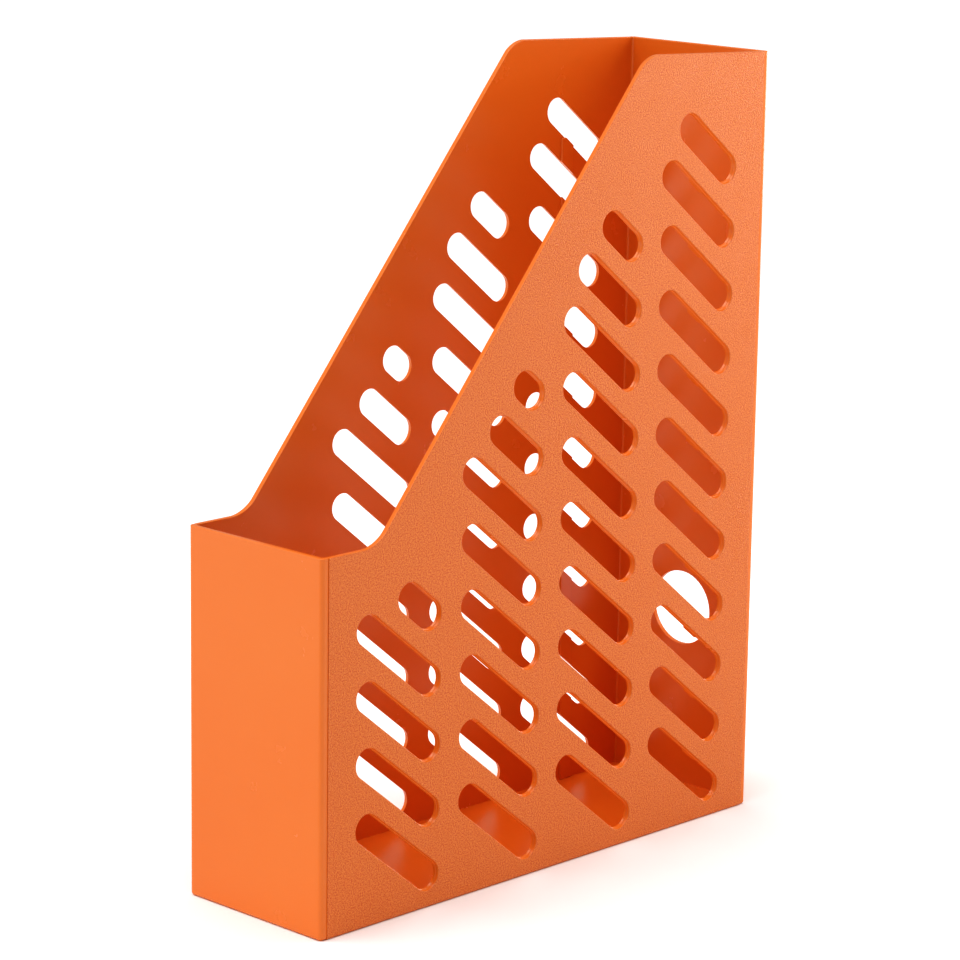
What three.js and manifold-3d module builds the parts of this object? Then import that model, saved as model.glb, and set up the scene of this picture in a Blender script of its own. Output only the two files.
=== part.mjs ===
// Magazine file holder, open at the top and along the slanted front.
// The real object is one thin-walled moulding with a label on its spine. Each wall of the moulding is a
// solid of its own here, and the walls meet face to face.
//
// Millimetres, +Z up. The origin is on the resting plane, under the middle of the footprint.
// The low front wall is at -Y, the tall spine wall at +Y, and the slotted side walls at -X and +X.

import * as THREE from "three";
import { mergeVertices } from "three/addons/utils/BufferGeometryUtils.js";
import Module from "manifold-3d";

// Overall sizes
const width = 75.6;
const depth = 249.4;
const frontHeight = 149.8;
const spineHeight = 321.9;
const wall = 2.2;
const baseThickness = 2.2;

// Vertical corners, and the round at the foot
const cornerRadius = 1.8;
const innerCornerRadius = 1;
const cornerReturn = 3.3; // how far the front and spine walls turn round a corner, from the outer face
const panelStep = 0.3; // the grained side walls stand this far proud of the smooth corners
const footRadius = 1.4;

// Upper edge of a side wall
const slantFoot = 28.4; // from the front face to the corner where the slanted edge starts
const slantAngle = THREE.MathUtils.degToRad(50);
const topFall = THREE.MathUtils.degToRad(2.5); // the top edge falls a little towards the spine
const footFillet = 15;
const shoulderFillet = 13;

// Slots: round-ended, falling towards the spine, in four columns
const slotRadius = 6.7;
const slotLength = 41.4; // between the centres of the two round ends
const slotFall = THREE.MathUtils.degToRad(38.7);
const rowPitch = 26.25;
const columnPitch = 55.7;
const firstSlotY = 40.4; // middle of the lowest slot of the first column, from the front face
const firstSlotZ = 26.4;
const columns = [
  { fullSlots: 4, shortLengths: [13.5] },
  { fullSlots: 6, shortLengths: [22.5, 6] },
  { fullSlots: 8, shortLengths: [31.5, 14.5] },
  { fullSlots: 10, shortLengths: [28.5] },
];

// Upright stiffening rib on the inner face of each side wall, behind the last column's middle
const ribWidth = 7.2;
const ribHeight = 0.9;
const ribFootY = 214.2; // middle of the rib at the base, from the front face
const ribTopY = 207.5;
const ribTopGap = 41; // the rib stops this far under the top edge, below the highest slot

// Spine: finger hole, and the label in its shallow field
const fingerHoleRadius = 16;
const fingerHoleZ = 80;
const labelWidth = 54;
const labelHeight = 150;
const labelZ = 205;
const labelThickness = 0.3;
const labelFieldDepth = 0.4;
const labelFieldMargin = 0.5; // room round the label

const arcSteps = 3; // three.js makes two segments for each step of an arc
const frontY = -depth / 2;
const spineY = depth / 2;
const sideX = width / 2;
const cornerX = sideX - panelStep;
const innerX = sideX - wall;

const shellColour = new THREE.Color(0xe8702f);
const satinShell = new THREE.MeshStandardMaterial({ color: shellColour, roughness: 0.42, metalness: 0 });
const grainedShell = new THREE.MeshStandardMaterial({ color: shellColour, roughness: 0.58, metalness: 0 });
const labelPaper = new THREE.MeshStandardMaterial({ color: 0xf4f3ee, roughness: 0.8, metalness: 0 });

const wasm = await Module();
wasm.setup();

function toSolid(geometry) {
  const bare = geometry.clone();
  bare.deleteAttribute("normal");
  bare.deleteAttribute("uv");
  const merged = mergeVertices(bare);
  return new wasm.Manifold(
    new wasm.Mesh({
      numProp: 3,
      vertProperties: new Float32Array(merged.attributes.position.array),
      triVerts: new Uint32Array(merged.index.array),
    }),
  );
}

function toGeometry(solid) {
  const mesh = solid.getMesh();
  const geometry = new THREE.BufferGeometry();
  geometry.setAttribute("position", new THREE.BufferAttribute(mesh.vertProperties, 3));
  geometry.setIndex(new THREE.BufferAttribute(mesh.triVerts, 1));
  geometry.computeVertexNormals();
  return geometry;
}

function extrude(shape, length) {
  return new THREE.ExtrudeGeometry(shape, { depth: length, bevelEnabled: false, curveSegments: arcSteps });
}

// Stands a shape drawn in (Y, Z) upright, with its thickness along +X from the given x.
function standOnSide(geometry, x) {
  const basis = new THREE.Matrix4().makeBasis(
    new THREE.Vector3(0, 1, 0),
    new THREE.Vector3(0, 0, 1),
    new THREE.Vector3(1, 0, 0),
  );
  return geometry.applyMatrix4(basis).translate(x, 0, 0);
}

// Draws a line to a corner and round it: the corner lies between the path's last point and the next one.
function roundCorner(path, corner, next, radius) {
  const toLast = path.currentPoint.clone().sub(corner).normalize();
  const toNext = next.clone().sub(corner).normalize();
  const halfAngle = Math.acos(toLast.dot(toNext)) / 2;
  const inward = toLast.clone().add(toNext).normalize();
  const centre = corner.clone().addScaledVector(inward, radius / Math.sin(halfAngle));
  const reach = radius / Math.tan(halfAngle);
  const start = corner.clone().addScaledVector(toLast, reach);
  const end = corner.clone().addScaledVector(toNext, reach);
  const startAngle = start.clone().sub(centre).angle();
  const endAngle = end.clone().sub(centre).angle();
  const clockwise = toLast.cross(toNext) > 0;
  path.lineTo(start.x, start.y);
  path.absarc(centre.x, centre.y, radius, startAngle, endAngle, clockwise);
}

// Rectangle round the origin, with rounded corners.
function roundedPlan(halfWidth, halfDepth, radius) {
  const start = new THREE.Vector2(0, -halfDepth);
  const corners = [
    new THREE.Vector2(halfWidth, -halfDepth),
    new THREE.Vector2(halfWidth, halfDepth),
    new THREE.Vector2(-halfWidth, halfDepth),
    new THREE.Vector2(-halfWidth, -halfDepth),
  ];
  const plan = new THREE.Shape();
  plan.moveTo(start.x, start.y);
  corners.forEach((corner, index) => roundCorner(plan, corner, corners[index + 1] ?? start, radius));
  plan.closePath();
  return plan;
}

function cavityPlan() {
  return roundedPlan(innerX, spineY - wall, innerCornerRadius);
}

// Front end of the body up to a height: a wall with its two rounded corners and a rounded foot.
// The spine end is the same, turned round.
function endWall(height) {
  const block = new THREE.ExtrudeGeometry(roundedPlan(cornerX, spineY, cornerRadius), {
    depth: spineHeight,
    curveSegments: arcSteps,
    bevelThickness: footRadius,
    bevelSize: footRadius,
    bevelOffset: -footRadius,
    bevelSegments: arcSteps,
  });
  block.translate(0, 0, footRadius);
  const keep = new THREE.BoxGeometry(2 * width, 2 * cornerReturn, 2 * height).translate(0, frontY, 0);
  const cavity = extrude(cavityPlan(), 2 * spineHeight).translate(0, 0, -wall);
  return toSolid(block).intersect(toSolid(keep)).subtract(toSolid(cavity));
}

function frontWall() {
  return toGeometry(endWall(frontHeight));
}

function spineWall() {
  const shell = toGeometry(endWall(spineHeight)).rotateZ(Math.PI);
  const hole = new THREE.CylinderGeometry(fingerHoleRadius, fingerHoleRadius, 4 * wall, 12 * arcSteps);
  hole.translate(0, spineY, fingerHoleZ);
  const field = new THREE.BoxGeometry(
    labelWidth + 2 * labelFieldMargin,
    2 * labelFieldDepth,
    labelHeight + 2 * labelFieldMargin,
  );
  field.translate(0, spineY, labelZ);
  return toGeometry(toSolid(shell).subtract(toSolid(hole)).subtract(toSolid(field)));
}

function spineLabel() {
  const label = new THREE.BoxGeometry(labelWidth, labelThickness, labelHeight);
  return label.translate(0, spineY - labelFieldDepth + labelThickness / 2, labelZ);
}

// Floor of the file, between the four walls.
function basePanel() {
  return extrude(cavityPlan(), baseThickness);
}

// Height of the top edge over a point, without the rounded shoulder.
function topEdgeZ(y) {
  return spineHeight + (spineY - cornerReturn - y) * Math.tan(topFall);
}

// Outline of a side wall in (Y, Z), between the corners of the front and spine walls.
function sideOutline() {
  const startY = frontY + cornerReturn;
  const endY = spineY - cornerReturn;
  const rise = Math.tan(slantAngle);
  const footY = frontY + slantFoot;
  const shoulderY =
    (topEdgeZ(0) - frontHeight + footY * rise) / (rise + Math.tan(topFall));
  const foot = new THREE.Vector2(footY, frontHeight);
  const shoulder = new THREE.Vector2(shoulderY, topEdgeZ(shoulderY));
  const outline = new THREE.Shape();
  outline.moveTo(startY, 0);
  outline.lineTo(endY, 0);
  outline.lineTo(endY, spineHeight);
  roundCorner(outline, shoulder, foot, shoulderFillet);
  roundCorner(outline, foot, new THREE.Vector2(startY, frontHeight), footFillet);
  outline.lineTo(startY, frontHeight);
  outline.closePath();
  return outline;
}

// One slot from its lower, rear round end, which keeps to the grid, up to its front end.
function slotShape(rearEnd, length) {
  const slant = new THREE.Vector2(-Math.cos(slotFall), Math.sin(slotFall));
  const frontEnd = rearEnd.clone().addScaledVector(slant, length);
  const upwards = Math.PI / 2 - slotFall;
  const shape = new THREE.Shape();
  shape.absarc(rearEnd.x, rearEnd.y, slotRadius, upwards - Math.PI, upwards, false);
  shape.absarc(frontEnd.x, frontEnd.y, slotRadius, upwards, upwards + Math.PI, false);
  shape.closePath();
  return shape;
}

function slotShapes() {
  const halfReach = slotLength / 2;
  const shapes = [];
  columns.forEach((column, index) => {
    const middleY = frontY + firstSlotY + index * columnPitch;
    const lengths = [...Array(column.fullSlots).fill(slotLength), ...column.shortLengths];
    lengths.forEach((length, row) => {
      const middleZ = firstSlotZ + row * rowPitch;
      const rearEnd = new THREE.Vector2(
        middleY + halfReach * Math.cos(slotFall),
        middleZ - halfReach * Math.sin(slotFall),
      );
      shapes.push(slotShape(rearEnd, length));
    });
  });
  return shapes;
}

function ribShape() {
  const footY = frontY + ribFootY;
  const topY = frontY + ribTopY;
  const topZ = topEdgeZ(topY) - ribTopGap;
  return new THREE.Shape([
    new THREE.Vector2(footY - ribWidth / 2, baseThickness),
    new THREE.Vector2(footY + ribWidth / 2, baseThickness),
    new THREE.Vector2(topY + ribWidth / 2, topZ),
    new THREE.Vector2(topY - ribWidth / 2, topZ),
  ]);
}

// Upright bar along the whole side, thicker than the wall, with the rounded lower edge of its outer face.
function footTrim() {
  const section = new THREE.Shape();
  section.moveTo(sideX, 2 * spineHeight);
  section.lineTo(innerX - wall, 2 * spineHeight);
  section.lineTo(innerX - wall, 0);
  roundCorner(section, new THREE.Vector2(sideX, 0), new THREE.Vector2(sideX, spineHeight), footRadius);
  section.closePath();
  return extrude(section, 2 * depth).rotateX(Math.PI / 2).translate(0, depth, 0);
}

// The right wall is built in place, and the left wall is its mirror image.
function sideWall(mirrored) {
  const ribOverlap = wall / 2;
  const panel = toSolid(standOnSide(extrude(sideOutline(), wall), innerX));
  const rib = toSolid(standOnSide(extrude(ribShape(), ribHeight + ribOverlap), innerX - ribHeight));
  const cutLength = 4 * wall;
  const slots = slotShapes().map((shape) =>
    toSolid(standOnSide(extrude(shape, cutLength), sideX - cutLength + wall)),
  );
  const blank = panel.add(rib).intersect(toSolid(footTrim()));
  const solid = slots.reduce((rest, slot) => rest.subtract(slot), blank);
  return toGeometry(mirrored ? solid.mirror([1, 0, 0]) : solid);
}

function addPiece(group, name, geometry, material) {
  const mesh = new THREE.Mesh(geometry, material);
  mesh.name = name;
  group.add(mesh);
}

const fileHolder = new THREE.Group();
addPiece(fileHolder, "base_panel", basePanel(), satinShell);
addPiece(fileHolder, "front_wall", frontWall(), satinShell);
addPiece(fileHolder, "spine_wall", spineWall(), satinShell);
addPiece(fileHolder, "left_side_wall", sideWall(true), grainedShell);
addPiece(fileHolder, "right_side_wall", sideWall(false), grainedShell);
addPiece(fileHolder, "spine_label", spineLabel(), labelPaper);

export default fileHolder;
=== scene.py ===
import math

import bmesh
import bpy
from mathutils import Matrix, Quaternion, Vector


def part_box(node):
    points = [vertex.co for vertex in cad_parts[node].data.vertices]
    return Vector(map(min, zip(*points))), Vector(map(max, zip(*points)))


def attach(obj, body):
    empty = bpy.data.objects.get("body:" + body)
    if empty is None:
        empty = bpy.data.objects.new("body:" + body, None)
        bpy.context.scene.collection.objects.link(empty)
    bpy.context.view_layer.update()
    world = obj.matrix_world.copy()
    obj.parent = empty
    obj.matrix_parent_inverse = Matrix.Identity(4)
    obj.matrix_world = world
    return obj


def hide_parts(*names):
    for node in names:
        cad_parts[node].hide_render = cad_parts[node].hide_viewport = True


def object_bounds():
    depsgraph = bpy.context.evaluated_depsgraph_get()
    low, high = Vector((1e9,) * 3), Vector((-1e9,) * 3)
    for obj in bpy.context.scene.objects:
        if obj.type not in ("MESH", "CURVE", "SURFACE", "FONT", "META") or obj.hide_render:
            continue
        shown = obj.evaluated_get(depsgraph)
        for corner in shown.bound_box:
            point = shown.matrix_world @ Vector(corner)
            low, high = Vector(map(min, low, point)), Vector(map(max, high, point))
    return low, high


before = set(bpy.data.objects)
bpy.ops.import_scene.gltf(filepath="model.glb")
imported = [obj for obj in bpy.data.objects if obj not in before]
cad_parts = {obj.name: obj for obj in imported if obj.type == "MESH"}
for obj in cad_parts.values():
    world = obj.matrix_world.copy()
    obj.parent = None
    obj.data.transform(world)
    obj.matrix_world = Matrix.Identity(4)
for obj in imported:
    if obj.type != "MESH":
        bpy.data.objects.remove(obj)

cadLow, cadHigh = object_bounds()

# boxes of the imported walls, which every piece below is built into
frontLow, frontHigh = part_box("front_wall")
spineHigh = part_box("spine_wall")[1]
sideLow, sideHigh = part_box("right_side_wall")
baseLow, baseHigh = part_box("base_panel")
labelLow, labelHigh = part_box("spine_label")

outerX = sideHigh.x             # grained outer face of a side wall
cornerX = frontHigh.x           # smooth corners, set back a little from it
innerX = baseHigh.x
wall = outerX - innerX
seamY = sideHigh.y              # where a side wall meets the front and the spine wall
frontTop = frontHigh.z
spineTop = spineHigh.z

shell = {
    "cornerRadius": 0.0018,
    "innerCornerRadius": 0.001,
    "footRadius": 0.0014,
    "rimRadius": 0.00035,
    "panelEdgeRadius": 0.00012,
    "cornerSegments": 8,
    "edgeSegments": 4,
    "sharpAngle": math.radians(34),
}


def block(low, high):
    bm = bmesh.new()
    low, high = Vector(low), Vector(high)
    bmesh.ops.create_cube(bm, size=1)
    bmesh.ops.scale(bm, vec=high - low, verts=bm.verts)
    bmesh.ops.translate(bm, vec=(low + high) / 2, verts=bm.verts)
    return bm


tolerance = 1e-6


def near(a, b):
    return abs(a - b) < tolerance


def roundEdges(bm, picked, radius, segments):
    edges = [edge for edge in bm.edges if picked(edge)]
    bmesh.ops.bevel(bm, geom=edges, offset=radius, offset_type="OFFSET", segments=segments,
                    profile=0.5, affect="EDGES", material=-1)


def edgeLies(edge, axis, place):
    # both ends of the edge at the same place along one axis
    return all(near(vert.co[axis], place) for vert in edge.verts)


def edgeRuns(edge, axis):
    # the edge is parallel to one axis
    a, b = (vert.co for vert in edge.verts)
    return (b - a).length > 1e-7 and near(abs((b - a).normalized()[axis]), 1)


def toObject(bm, name):
    bmesh.ops.recalc_face_normals(bm, faces=bm.faces)
    mesh = bpy.data.meshes.new(name)
    bm.to_mesh(mesh)
    bm.free()
    piece = bpy.data.objects.new(name, mesh)
    bpy.context.scene.collection.objects.link(piece)
    return piece


def combine(piece, operation, tool):
    # exact boolean with another bmesh, then the tool is thrown away
    cutter = toObject(tool, piece.name + "_tool")
    boolean = piece.modifiers.new("boolean", "BOOLEAN")
    boolean.operation = operation
    boolean.solver = "EXACT"
    boolean.object = cutter
    graph = bpy.context.evaluated_depsgraph_get()
    result = bpy.data.meshes.new_from_object(piece.evaluated_get(graph))
    piece.modifiers.clear()
    old = piece.data
    piece.data = result
    result.name = piece.name
    bpy.data.meshes.remove(old)
    bpy.data.objects.remove(cutter)


def finishPiece(piece, node, material):
    # welds the boolean's leftovers, smooths the rounds and keeps the real edges crisp
    bm = bmesh.new()
    bm.from_mesh(piece.data)
    bmesh.ops.remove_doubles(bm, verts=bm.verts, dist=tolerance)
    bmesh.ops.dissolve_degenerate(bm, dist=1e-7, edges=bm.edges)
    bm.to_mesh(piece.data)
    bm.free()
    piece.data.materials.clear()
    piece.data.materials.append(material)
    piece.data.shade_smooth()
    piece.data.set_sharp_from_angle(angle=shell["sharpAngle"])
    normals = piece.modifiers.new("weighted normals", "WEIGHTED_NORMAL")
    normals.keep_sharp = True
    normals.weight = 100
    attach(piece, "root")
    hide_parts(node)


class Wire:
    # a value on its way through the node tree; sums and products add Math nodes
    def __init__(self, tree, socket):
        self.tree = tree
        self.socket = socket

    def math(self, operation, first, second):
        node = self.tree.nodes.new("ShaderNodeMath")
        node.operation = operation
        for port, value in zip(node.inputs, (first, second)):
            if isinstance(value, Wire):
                self.tree.links.new(value.socket, port)
            else:
                port.default_value = value
        return Wire(self.tree, node.outputs[0])

    def __add__(self, other):
        return self.math("ADD", self, other)

    def __radd__(self, other):
        return self.math("ADD", other, self)

    def __sub__(self, other):
        return self.math("SUBTRACT", self, other)

    def __rsub__(self, other):
        return self.math("SUBTRACT", other, self)

    def __mul__(self, other):
        return self.math("MULTIPLY", self, other)

    def __rmul__(self, other):
        return self.math("MULTIPLY", other, self)


class Finish:
    # a material and its node tree
    def __init__(self, name):
        self.material = bpy.data.materials.new(name)
        self.material.use_nodes = True
        self.tree = self.material.node_tree
        self.tree.nodes.clear()

    def add(self, kind, settings=None, **sockets):
        # settings go on the node first, then values or wires on its sockets, spaces written as _
        node = self.tree.nodes.new("ShaderNode" + kind)
        for name, value in (settings or {}).items():
            setattr(node, name, value)
        for name, value in sockets.items():
            port = node.inputs[name.replace("_", " ")]
            if isinstance(value, Wire):
                self.tree.links.new(value.socket, port)
            else:
                port.default_value = value
        return node

    def wire(self, node, output=0):
        return Wire(self.tree, node.outputs[output])

    def place(self):
        return self.wire(self.add("TexCoord"), "Object")

    def noise(self, place, scale, detail=2.0, roughness=0.5):
        return self.wire(self.add("TexNoise", Vector=place, Scale=scale, Detail=detail, Roughness=roughness))

    def range(self, value, fromLow, fromHigh, toLow=0.0, toHigh=1.0, smooth=False):
        node = self.add("MapRange", {"interpolation_type": "SMOOTHSTEP" if smooth else "LINEAR"}, Value=value)
        for port, number in zip(list(node.inputs)[1:5], (fromLow, fromHigh, toLow, toHigh)):
            port.default_value = number
        return self.wire(node)

    def mix(self, factor, colourA, colourB):
        node = self.add("Mix", {"data_type": "RGBA"})
        for index, value in ((0, factor), (6, colourA), (7, colourB)):
            if isinstance(value, Wire):
                self.tree.links.new(value.socket, node.inputs[index])
            else:
                node.inputs[index].default_value = value
        return self.wire(node, 2)

    def close(self, shader):
        self.add("OutputMaterial", Surface=self.wire(shader))
        return self.material


plastic = {
    "pitShade": (0.60, 0.078, 0.004, 1),         # painted shade in the pits of the grain
    "body": (0.80, 0.200, 0.022, 1),
    "pale": (0.82, 0.290, 0.055, 1),         # a paler tone of the plastic, also used as painted highlight on the tops of the grain
    "satinRoughness": 0.26,
    "grainRoughness": 0.5,
    "grainSize": 0.0006,
    "grainDepth": 0.00026,
    "grainEdge": (0.00016, 0.00004),         # the grain fades in between these depths under the face
    "grainCover": 0.9,
    "fineGrain": 2.3,                        # times finer than the coarse grain
    "coarseShare": 0.72,
    "peelSize": 0.006,
    "peelDepth": 0.00001,
    "flowTone": 0.14,
    "hazeRoughness": 0.08,
}


def mouldedPlastic(name, grained):
    finish = Finish(name)
    place = finish.place()
    # slow drift of tone from the melt's flow, and the faint orange peel of a polished mould
    flow = finish.noise(place, 14.0, 3.0)
    peel = finish.noise(place, 1 / plastic["peelSize"], 2.0)
    haze = finish.noise(place, 60.0, 4.0, 0.6)
    drift = finish.range(flow, 0.3, 0.7, 0.0, plastic["flowTone"])
    tone = finish.mix(drift, plastic["body"], plastic["pale"])
    roughness = plastic["satinRoughness"] + (haze - 0.5) * plastic["hazeRoughness"]
    height = peel * plastic["peelDepth"]
    if grained:
        # grain from the spark-eroded mould, only on the flat outer face; its pits are painted darker as shade
        # and its tops paler as highlight
        split = finish.add("SeparateXYZ", Vector=place)
        outward = finish.wire(finish.add("Math", {"operation": "ABSOLUTE"}, Value=finish.wire(split)))
        fadeStart, fadeEnd = plastic["grainEdge"]
        mask = finish.range(outward, outerX - fadeStart, outerX - fadeEnd)
        coarse = finish.noise(place, 1 / plastic["grainSize"], 2.5, 0.6)
        fine = finish.noise(place, plastic["fineGrain"] / plastic["grainSize"], 1.0)
        grain = coarse * plastic["coarseShare"] + fine * (1 - plastic["coarseShare"])
        # painted shade in the grain's pits and painted highlight on its tops, mixed by the grain's height
        grainShadeMix = finish.range(grain, 0.38, 0.62, 0.0, 1.0)
        paintedGrainShading = finish.mix(grainShadeMix, plastic["pitShade"], plastic["pale"])
        tone = finish.mix(mask * plastic["grainCover"], tone, paintedGrainShading)
        roughness = roughness + mask * (plastic["grainRoughness"] - plastic["satinRoughness"])
        height = height + grain * mask * plastic["grainDepth"]
    bump = finish.add("Bump", Height=height, Strength=1.0, Distance=1.0)
    shader = finish.add("BsdfPrincipled", Base_Color=tone, Roughness=roughness,
                        Normal=finish.wire(bump), IOR=1.53)
    return finish.close(shader)


label = {
    "white": (0.66, 0.65, 0.61, 1),
    "grey": (0.60, 0.59, 0.55, 1),
    "fibre": (0.50, 0.48, 0.43, 1),
    "fibreDepth": 0.00002,
    "roughness": 0.75,
    "fibreRoughness": 0.2,
}


def labelPaper(name):
    finish = Finish(name)
    place = finish.place()
    fibres = finish.noise(place, 900.0, 4.0, 0.7)
    cloud = finish.noise(place, 40.0, 3.0)
    tone = finish.mix(finish.range(cloud, 0.3, 0.7), label["grey"], label["white"])
    tone = finish.mix(finish.range(fibres, 0.55, 0.75, 0.0, 0.25), tone, label["fibre"])
    roughness = label["roughness"] + (fibres - 0.5) * label["fibreRoughness"]
    bump = finish.add("Bump", Height=fibres * label["fibreDepth"], Strength=1.0, Distance=1.0)
    shader = finish.add("BsdfPrincipled", Base_Color=tone, Roughness=roughness, Normal=finish.wire(bump))
    return finish.close(shader)


satinOrange = mouldedPlastic("satinOrange", False)
grainedOrange = mouldedPlastic("grainedOrange", True)
paper = labelPaper("paper")
print("materials ready")


gateMark = {
    "radius": 0.0045,
    "depth": 0.0004,
    "narrowing": 0.9,                  # upper end of the cutter against its lower end
    "segments": 40,
    "nubRadius": 0.0009,
    "nubHeight": 0.00025,
    "nubNarrowing": 0.7,               # lower end of the nub against its upper end
    "nubSegments": 24,
    "nubRoot": 0.0002,                 # how far the nub reaches into the plate
}


def cavityBlock(bottom, top):
    bm = block((-innerX, baseLow.y, bottom), (innerX, baseHigh.y, top))
    roundEdges(bm, lambda edge: edgeRuns(edge, 2), shell["innerCornerRadius"], shell["cornerSegments"])
    return bm


def makeFloor():
    plate = toObject(cavityBlock(0, baseHigh.z), "floor_plate")
    # the moulding gate's shallow round dimple underneath, with the stub of the sprue in it
    dimple = bmesh.new()
    bmesh.ops.create_cone(dimple, cap_ends=True, segments=gateMark["segments"], radius1=gateMark["radius"],
                          radius2=gateMark["radius"] * gateMark["narrowing"], depth=gateMark["depth"] * 2)
    combine(plate, "DIFFERENCE", dimple)
    nub = bmesh.new()
    nubLength = gateMark["nubHeight"] + gateMark["nubRoot"]
    nubMiddle = gateMark["depth"] + gateMark["nubRoot"] - nubLength / 2
    bmesh.ops.create_cone(nub, cap_ends=True, segments=gateMark["nubSegments"],
                          radius1=gateMark["nubRadius"] * gateMark["nubNarrowing"],
                          radius2=gateMark["nubRadius"], depth=nubLength)
    bmesh.ops.translate(nub, vec=(0, 0, nubMiddle), verts=nub.verts)
    combine(plate, "UNION", nub)
    finishPiece(plate, "base_panel", satinOrange)


def endWall(name, top):
    # built at the front; the spine end is turned round afterwards
    bm = block((-cornerX, frontLow.y, 0), (cornerX, -seamY, top))
    roundEdges(bm, lambda edge: edgeRuns(edge, 2) and edgeLies(edge, 1, frontLow.y),
               shell["cornerRadius"], shell["cornerSegments"])
    roundEdges(bm, lambda edge: edgeLies(edge, 2, 0) and not edgeLies(edge, 1, -seamY),
               shell["footRadius"], shell["edgeSegments"])
    piece = toObject(bm, name)
    combine(piece, "DIFFERENCE", cavityBlock(-wall, top + wall))
    rim = bmesh.new()
    rim.from_mesh(piece.data)
    roundEdges(rim, lambda edge: edgeLies(edge, 2, top) and not edgeLies(edge, 1, -seamY),
               shell["rimRadius"], shell["edgeSegments"])
    rim.to_mesh(piece.data)
    rim.free()
    return piece


def makeFront():
    finishPiece(endWall("front_panel", frontTop), "front_wall", satinOrange)


def quarterRound(across, along):
    # steps from point to point of a quarter round, given as two functions of the angle turned
    passed = Vector((0, 0))
    steps = []
    for i in range(shell["edgeSegments"]):
        angle = math.radians(90) * (i + 1) / shell["edgeSegments"]
        reached = Vector((across(angle), along(angle)))
        steps.append(tuple(reached - passed))
        passed = reached
    return steps


# round-ended cutter that starts outside a face and goes through it along +Z: the face is at z = 0.
# Its rim is flared to a quarter round, and the steps after that are (how much narrower, how much deeper).
def roundEndedCutter(radius, length, rimRadius, steps, segments=8):
    half = length / 2 + radius
    bm = block((-half, -radius, -2 * wall), (half, radius, 0))
    roundEdges(bm, lambda edge: edgeRuns(edge, 2), radius, segments)
    bmesh.ops.remove_doubles(bm, verts=bm.verts, dist=1e-7)
    flare = quarterRound(lambda angle: rimRadius * math.sin(angle),
                         lambda angle: rimRadius * (1 - math.cos(angle)))
    face = max(bm.faces, key=lambda item: item.calc_center_median().z)
    for thickness, depth in flare + steps:
        bmesh.ops.inset_individual(bm, faces=[face], thickness=thickness, depth=depth, use_even_offset=True)
    return bm


spineDetails = {
    "holeRadius": 0.016,
    "holeHeight": 0.080,
    "holeSegments": 12,                # for each quarter of the hole
    "fieldMargin": 0.0005,
    "fieldCorner": 0.0015,
    "labelCorner": 0.001,
    "labelEdge": 0.00006,
    "cornerSegments": 6,
}


def makeSpine():
    spine = endWall("spine_panel", spineTop)
    spine.data.transform(Matrix.Rotation(math.pi, 4, "Z"))
    edge = shell["rimRadius"]
    # finger hole, rounded on both sides
    widening = quarterRound(lambda angle: -edge * (1 - math.cos(angle)), lambda angle: edge * math.sin(angle))
    throughSteps = [(0.0, wall - 2 * edge), *widening, (0.0, wall)]
    hole = roundEndedCutter(spineDetails["holeRadius"] + edge, 0.0, edge, throughSteps,
                            spineDetails["holeSegments"])
    place = Matrix.Translation((0, spineHigh.y, spineDetails["holeHeight"]))
    intoSpine = place @ Matrix.Rotation(math.radians(90), 4, "X")
    bmesh.ops.transform(hole, matrix=intoSpine, verts=hole.verts)
    combine(spine, "DIFFERENCE", hole)
    # shallow field for the label
    margin = spineDetails["fieldMargin"]
    field = block((labelLow.x - margin, labelLow.y, labelLow.z - margin),
                  (labelHigh.x + margin, spineHigh.y + wall, labelHigh.z + margin))
    roundEdges(field, lambda item: edgeRuns(item, 1), spineDetails["fieldCorner"],
               spineDetails["cornerSegments"])
    combine(spine, "DIFFERENCE", field)
    finishPiece(spine, "spine_wall", satinOrange)


def makeLabel():
    bm = block(labelLow, labelHigh)
    roundEdges(bm, lambda edge: edgeRuns(edge, 1), spineDetails["labelCorner"],
               spineDetails["cornerSegments"])
    roundEdges(bm, lambda edge: edgeLies(edge, 1, labelHigh.y), spineDetails["labelEdge"], 2)
    finishPiece(toObject(bm, "blank_label"), "spine_label", paper)


outline = {
    "slantFoot": 0.0284,               # from the front face to the foot of the slanted edge
    "slantAngle": math.radians(50),
    "topFall": math.radians(2.5),
    "footFillet": 0.015,
    "shoulderFillet": 0.013,
    "filletSegments": 12,
}

slots = {
    "radius": 0.0067,
    "length": 0.0414,
    "fall": math.radians(38.7),
    "rowPitch": 0.02625,
    "columnPitch": 0.0557,
    "firstY": 0.0404,                  # middle of the first slot, from the front face
    "firstZ": 0.0264,
    "columns": [(4, [0.0135]), (6, [0.0225, 0.006]), (8, [0.0315, 0.0145]), (10, [0.0285])],
    "rimRadius": 0.0005,
    # draft from the outer rim to the mould's parting ridge and on to the inner rim
    "steps": [(0.00006, 0.0006), (0.00018, 0.00012), (0.00022, 0.00108), (0.0002, 0.001)],
}

rib = {
    "width": 0.0072,
    "footY": 0.2142,                   # middle of the rib at its foot and its top, from the front face
    "topY": 0.2075,
    "topGap": 0.041,                   # from the top edge down to the end of the rib
    "edge": 0.0004,
}


def topEdge(y):
    return spineTop + (seamY - y) * math.tan(outline["topFall"])


def upperRim(edge):
    # between an upward face and one of the two large faces
    faces = edge.link_faces
    upward = any(face.normal.z > 0.3 for face in faces)
    sideways = any(abs(face.normal.x) > 0.9 for face in faces)
    return upward and sideways and not edgeRuns(edge, 0)


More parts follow.
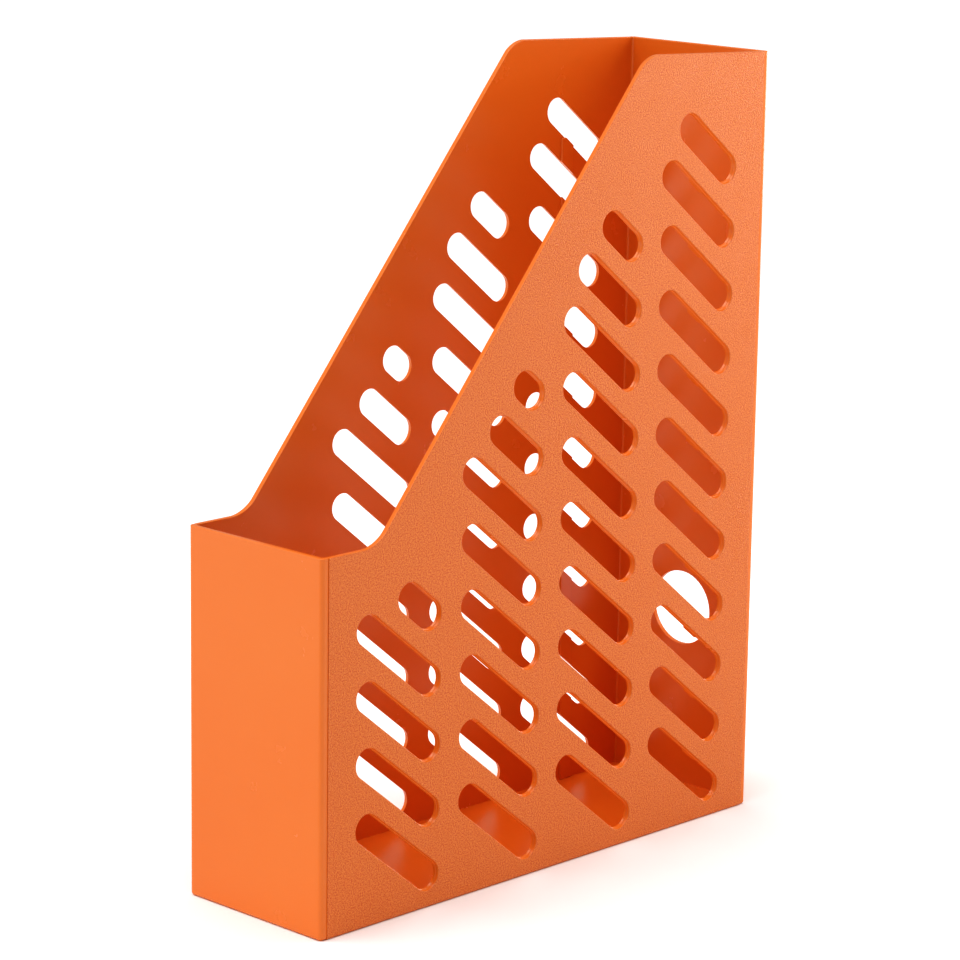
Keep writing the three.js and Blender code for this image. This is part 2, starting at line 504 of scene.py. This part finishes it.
def sideBlank():
    rise, fall = math.tan(outline["slantAngle"]), math.tan(outline["topFall"])
    footY = cadLow.y + outline["slantFoot"]
    shoulderY = (topEdge(0) - frontTop + footY * rise) / (rise + fall)
    corners = [(-seamY, 0), (seamY, 0), (seamY, spineTop), (shoulderY, topEdge(shoulderY)),
               (footY, frontTop), (-seamY, frontTop)]
    bm = bmesh.new()
    verts = [bm.verts.new((innerX, y, z)) for y, z in corners]
    bm.faces.new(verts)
    slant = outline["slantAngle"]
    turns = [(verts[3], outline["shoulderFillet"], slant + outline["topFall"]),
             (verts[4], outline["footFillet"], slant)]
    for vert, radius, turn in turns:
        bmesh.ops.bevel(bm, geom=[vert], offset=radius * math.tan(turn / 2), offset_type="OFFSET",
                        segments=outline["filletSegments"], profile=0.5, affect="VERTICES", material=-1)
    grown = bmesh.ops.extrude_face_region(bm, geom=bm.faces[:])
    outerVerts = [item for item in grown["geom"] if isinstance(item, bmesh.types.BMVert)]
    bmesh.ops.translate(bm, vec=(wall, 0, 0), verts=outerVerts)
    bmesh.ops.recalc_face_normals(bm, faces=bm.faces)
    # the whole upper edge is rounded, inside and out
    roundEdges(bm, upperRim, shell["rimRadius"], shell["edgeSegments"])
    roundEdges(bm, lambda edge: edgeLies(edge, 0, outerX) and edgeLies(edge, 2, 0),
               shell["footRadius"], shell["edgeSegments"])
    roundEdges(bm, lambda edge: edgeLies(edge, 0, outerX) and edgeRuns(edge, 2),
               shell["panelEdgeRadius"], 2)
    return bm


def ribBar():
    # stands on the inner face and leans a little forwards
    footY, topY = cadLow.y + rib["footY"], cadLow.y + rib["topY"]
    topZ = topEdge(topY) - rib["topGap"]
    bm = block((sideLow.x, -rib["width"] / 2, baseHigh.z), (innerX + wall / 2, rib["width"] / 2, topZ))
    for vert in bm.verts:
        vert.co.y += topY if near(vert.co.z, topZ) else footY
    roundEdges(bm, lambda edge: edgeLies(edge, 0, sideLow.x), rib["edge"], shell["edgeSegments"])
    return bm


def slotCutters():
    bm = bmesh.new()
    down = Vector((0, math.cos(slots["fall"]), -math.sin(slots["fall"])))
    inward = Vector((-1, 0, 0))
    across = inward.cross(down)
    turn = Matrix((down, across, inward)).transposed().to_4x4()
    for column, (fullSlots, shortLengths) in enumerate(slots["columns"]):
        lengths = [slots["length"]] * fullSlots + shortLengths
        for row, length in enumerate(lengths):
            # short slots keep their lower end on the grid
            middle = Vector((outerX, cadLow.y + slots["firstY"] + column * slots["columnPitch"],
                             slots["firstZ"] + row * slots["rowPitch"]))
            middle += down * (slots["length"] - length) / 2
            cutter = roundEndedCutter(slots["radius"], length, slots["rimRadius"], slots["steps"])
            bmesh.ops.transform(cutter, matrix=Matrix.Translation(middle) @ turn, verts=cutter.verts)
            holder = bpy.data.meshes.new("slot")
            cutter.to_mesh(holder)
            cutter.free()
            bm.from_mesh(holder)
            bpy.data.meshes.remove(holder)
    return bm


def makeSides():
    right = toObject(sideBlank(), "right_side_panel")
    combine(right, "UNION", ribBar())
    combine(right, "DIFFERENCE", slotCutters())
    mirrored = bmesh.new()
    mirrored.from_mesh(right.data)
    bmesh.ops.scale(mirrored, vec=(-1, 1, 1), verts=mirrored.verts)
    bmesh.ops.reverse_faces(mirrored, faces=mirrored.faces)
    left = toObject(mirrored, "left_side_panel")
    finishPiece(right, "right_side_wall", grainedOrange)
    finishPiece(left, "left_side_wall", grainedOrange)


makeFloor()
makeFront()
makeSpine()
makeLabel()
makeSides()
print("pieces ready")


viewpoint = {
    "azimuth": math.radians(44.105),   # from the front towards +X
    "elevation": math.radians(12.792),
    "roll": math.radians(0.856),
    "distance": 1.4348,
    "aim": (-0.00194, -0.0007, 0.15451),
    "lens": 133.9,
    "sensor": 36,
}


def setCamera():
    data = bpy.data.cameras.new("camera")
    data.lens = viewpoint["lens"]
    data.sensor_width = viewpoint["sensor"]
    camera = bpy.data.objects.new("camera", data)
    bpy.context.scene.collection.objects.link(camera)
    azimuth, elevation = viewpoint["azimuth"], viewpoint["elevation"]
    back = Vector((math.sin(azimuth) * math.cos(elevation), -math.cos(azimuth) * math.cos(elevation),
                   math.sin(elevation)))
    camera.location = Vector(viewpoint["aim"]) + back * viewpoint["distance"]
    camera.rotation_mode = "QUATERNION"
    camera.rotation_quaternion = (-back).to_track_quat("-Z", "Y") @ Quaternion((0, 0, 1), viewpoint["roll"])
    bpy.context.scene.camera = camera


stage = {"halfWidth": 15, "white": (0.95, 0.95, 0.95, 1), "grey": (0.92, 0.92, 0.92, 1)}


def makeStage():
    finish = Finish("paleFloor")
    place = finish.place()
    mottle = finish.noise(place, 3.0, 2.0)
    tone = finish.mix(mottle, stage["grey"], stage["white"])
    shader = finish.add("BsdfPrincipled", Base_Color=tone, Roughness=0.9)
    material = finish.close(shader)
    bm = bmesh.new()
    bmesh.ops.create_grid(bm, x_segments=1, y_segments=1, size=stage["halfWidth"])
    floor = toObject(bm, "studio_floor")
    if floor.data.polygons[0].normal.z < 0:
        floor.data.flip_normals()
    floor.data.materials.append(material)


lights = [
    {"name": "frontSoftbox", "place": (-1.0, -1.2, 0.4), "aim": (0, -0.12, 0.08), "width": 1.0,
     "height": 1.0, "power": 3.0},
    {"name": "rearSoftbox", "place": (0.36, 0.44, 0.52), "aim": (0.03, 0.06, 0.27), "width": 0.3,
     "height": 0.3, "power": 0.8},
    {"name": "rimStrip", "place": (0.3, 1.15, 0.34), "aim": (0.03, 0.0, 0.15), "width": 0.3,
     "height": 0.5, "power": 3.2},
]

# overhead light, wide enough to leave hardly a shadow
ceiling = {"direction": (-0.12, -0.3, 1.0), "spread": math.radians(55), "strength": 1.6}
worldStrength = 0.34


def aimLight(data, place, direction):
    light = bpy.data.objects.new(data.name, data)
    light.visible_camera = False
    light.location = place
    light.rotation_mode = "QUATERNION"
    light.rotation_quaternion = Vector(direction).to_track_quat("Z", "Y")
    bpy.context.scene.collection.objects.link(light)


def setLights():
    for box in lights:
        data = bpy.data.lights.new(box["name"], "AREA")
        data.shape = "RECTANGLE"
        data.size = box["width"]
        data.size_y = box["height"]
        data.energy = box["power"]
        aimLight(data, box["place"], Vector(box["place"]) - Vector(box["aim"]))
    overhead = bpy.data.lights.new("overhead", "SUN")
    overhead.angle = ceiling["spread"]
    overhead.energy = ceiling["strength"]
    aimLight(overhead, (0, 0, 2), ceiling["direction"])
    world = bpy.data.worlds.new("studio")
    bpy.context.scene.world = world
    world.use_nodes = True
    background = world.node_tree.nodes["Background"]
    background.inputs["Color"].default_value = (1, 1, 1, 1)
    background.inputs["Strength"].default_value = worldStrength


setCamera()
makeStage()
setLights()
view = bpy.context.scene.view_settings
view.view_transform = "Standard"
view.look = "High Contrast"
print("camera and lights ready")
